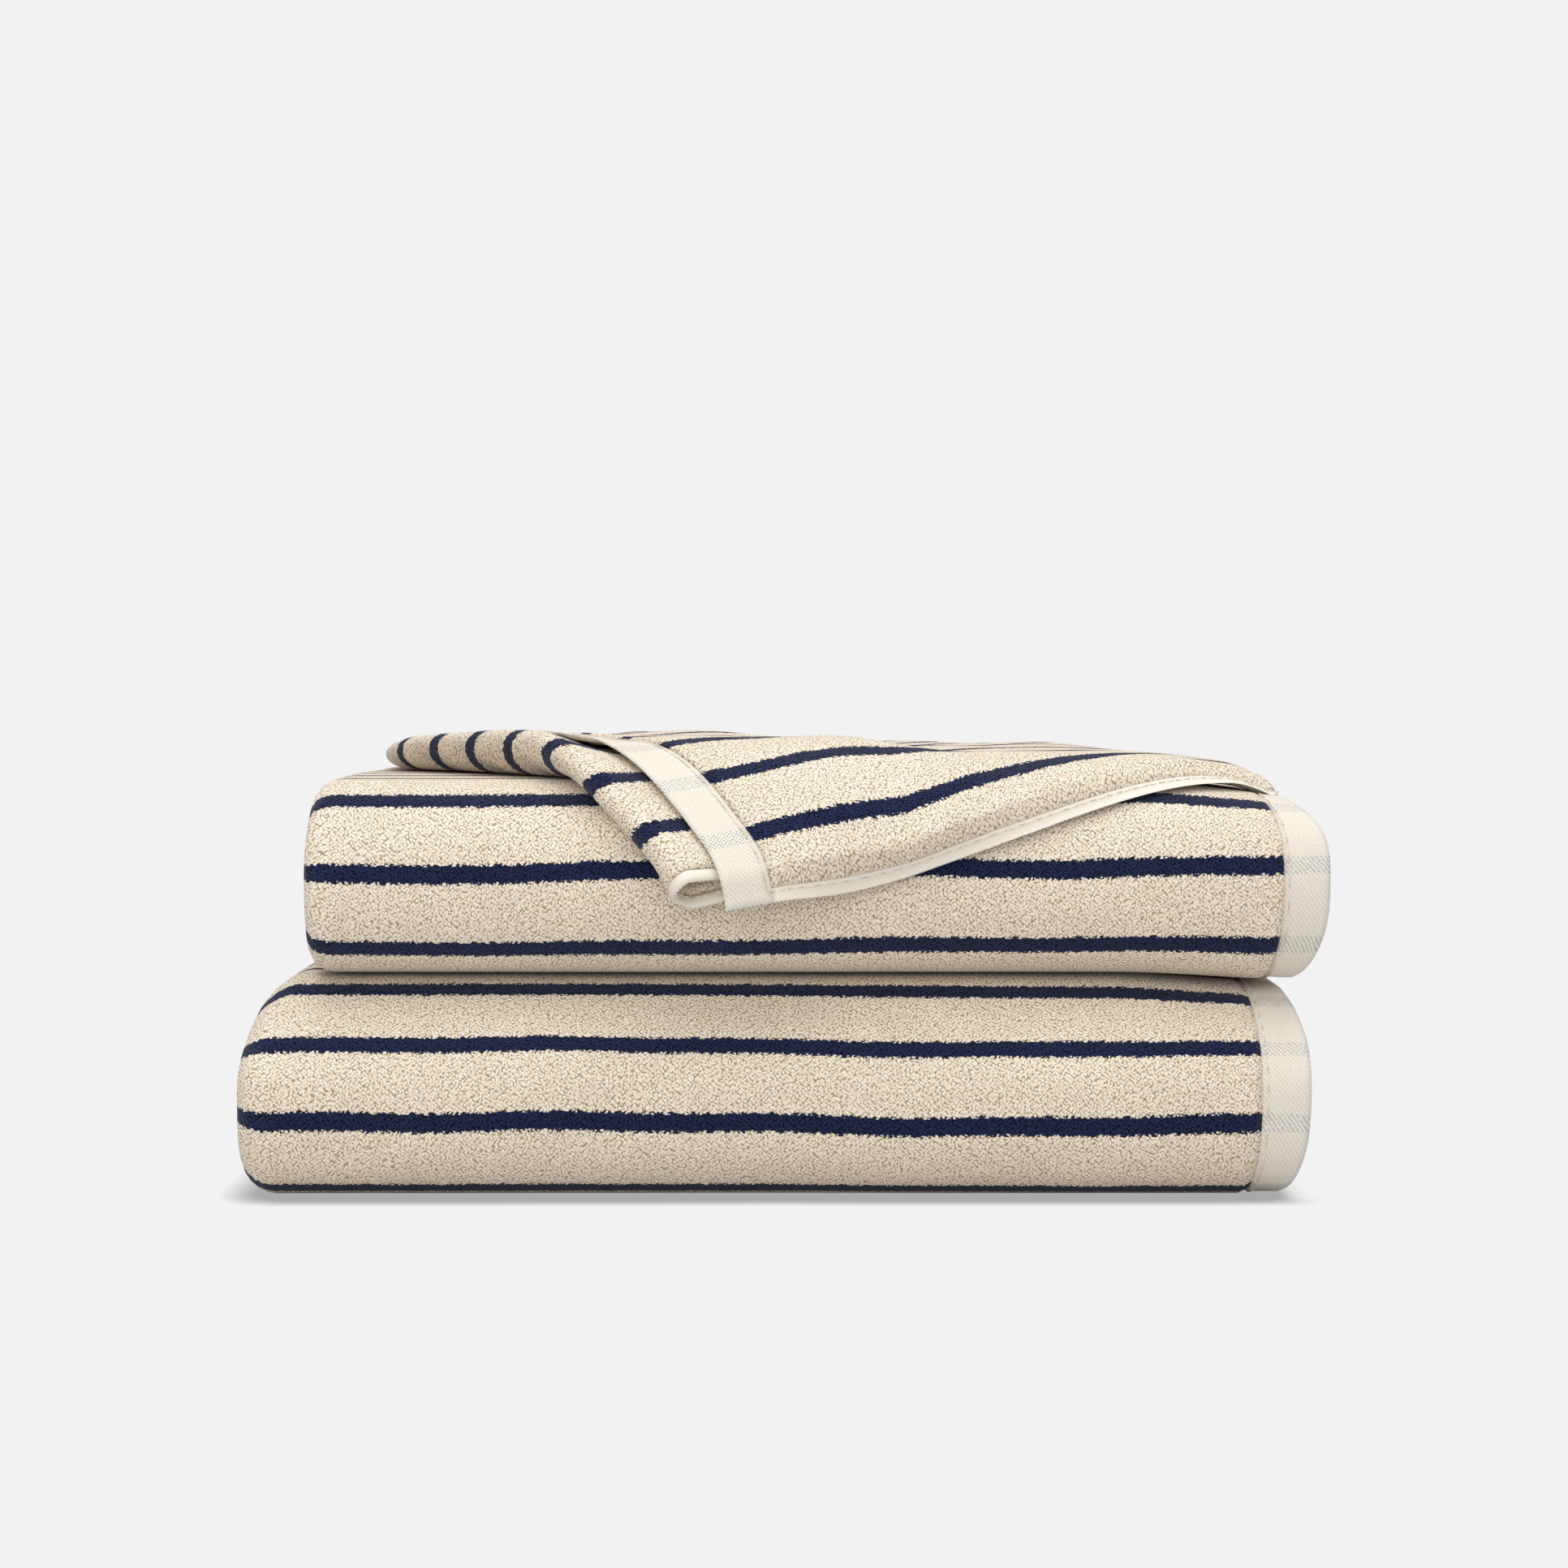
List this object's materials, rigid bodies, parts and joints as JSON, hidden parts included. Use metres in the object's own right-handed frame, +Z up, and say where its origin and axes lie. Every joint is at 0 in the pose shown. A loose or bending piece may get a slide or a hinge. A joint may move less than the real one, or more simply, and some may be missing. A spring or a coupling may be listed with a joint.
{
  "type": "bath towel set",
  "caption": "Striped terry bath towels folded flat and stacked, with a folded hand towel draped diagonally over the top and down the back.",
  "frame": {"origin": "middle of the bounding box, at the surface the stack lies on", "axes": "+X along the folded length of the bath towels, towards the end that shows their hems; +Y towards the back; +Z up"},
  "size_m": [0.356, 0.2652, 0.1518],
  "materials": {
    "terry": "looped cotton pile, cream with navy stripes",
    "flat_weave": "flat off-white cotton hem",
    "thread": "cotton sewing thread"
  },
  "bodies": {
    "lower_towel": {"lower_towel_terry": "terry", "lower_towel_end_hem_outer": "flat_weave", "lower_towel_end_hem_inner": "flat_weave", "lower_towel_side_hem_free": "flat_weave", "lower_towel_side_hem_tucked": "flat_weave", "lower_towel_end_hem_thread": "thread", "lower_towel_side_hem_thread": "thread"},
    "upper_towel": {"upper_towel_terry": "terry", "upper_towel_end_hem_outer": "flat_weave", "upper_towel_end_hem_inner": "flat_weave", "upper_towel_side_hem_free": "flat_weave", "upper_towel_side_hem_tucked": "flat_weave", "upper_towel_end_hem_thread": "thread", "upper_towel_side_hem_thread": "thread"},
    "hand_towel": {"hand_towel_terry": "terry", "hand_towel_end_hem_top": "flat_weave", "hand_towel_end_hem_tucked": "flat_weave", "hand_towel_side_hem_front": "flat_weave", "hand_towel_side_hem_back": "flat_weave", "hand_towel_end_hem_thread": "thread", "hand_towel_side_hem_thread": "thread"}
  },
  "joints": [
    {"name": "upper_towel_lift", "type": "slide", "parent": "lower_towel", "child": "upper_towel", "axis": [0, 0, 1], "range_m": [0, 0.08]},
    {"name": "hand_towel_lift", "type": "slide", "parent": "upper_towel", "child": "hand_towel", "axis": [0, 0, 1], "range_m": [0, 0.08]}
  ]
}
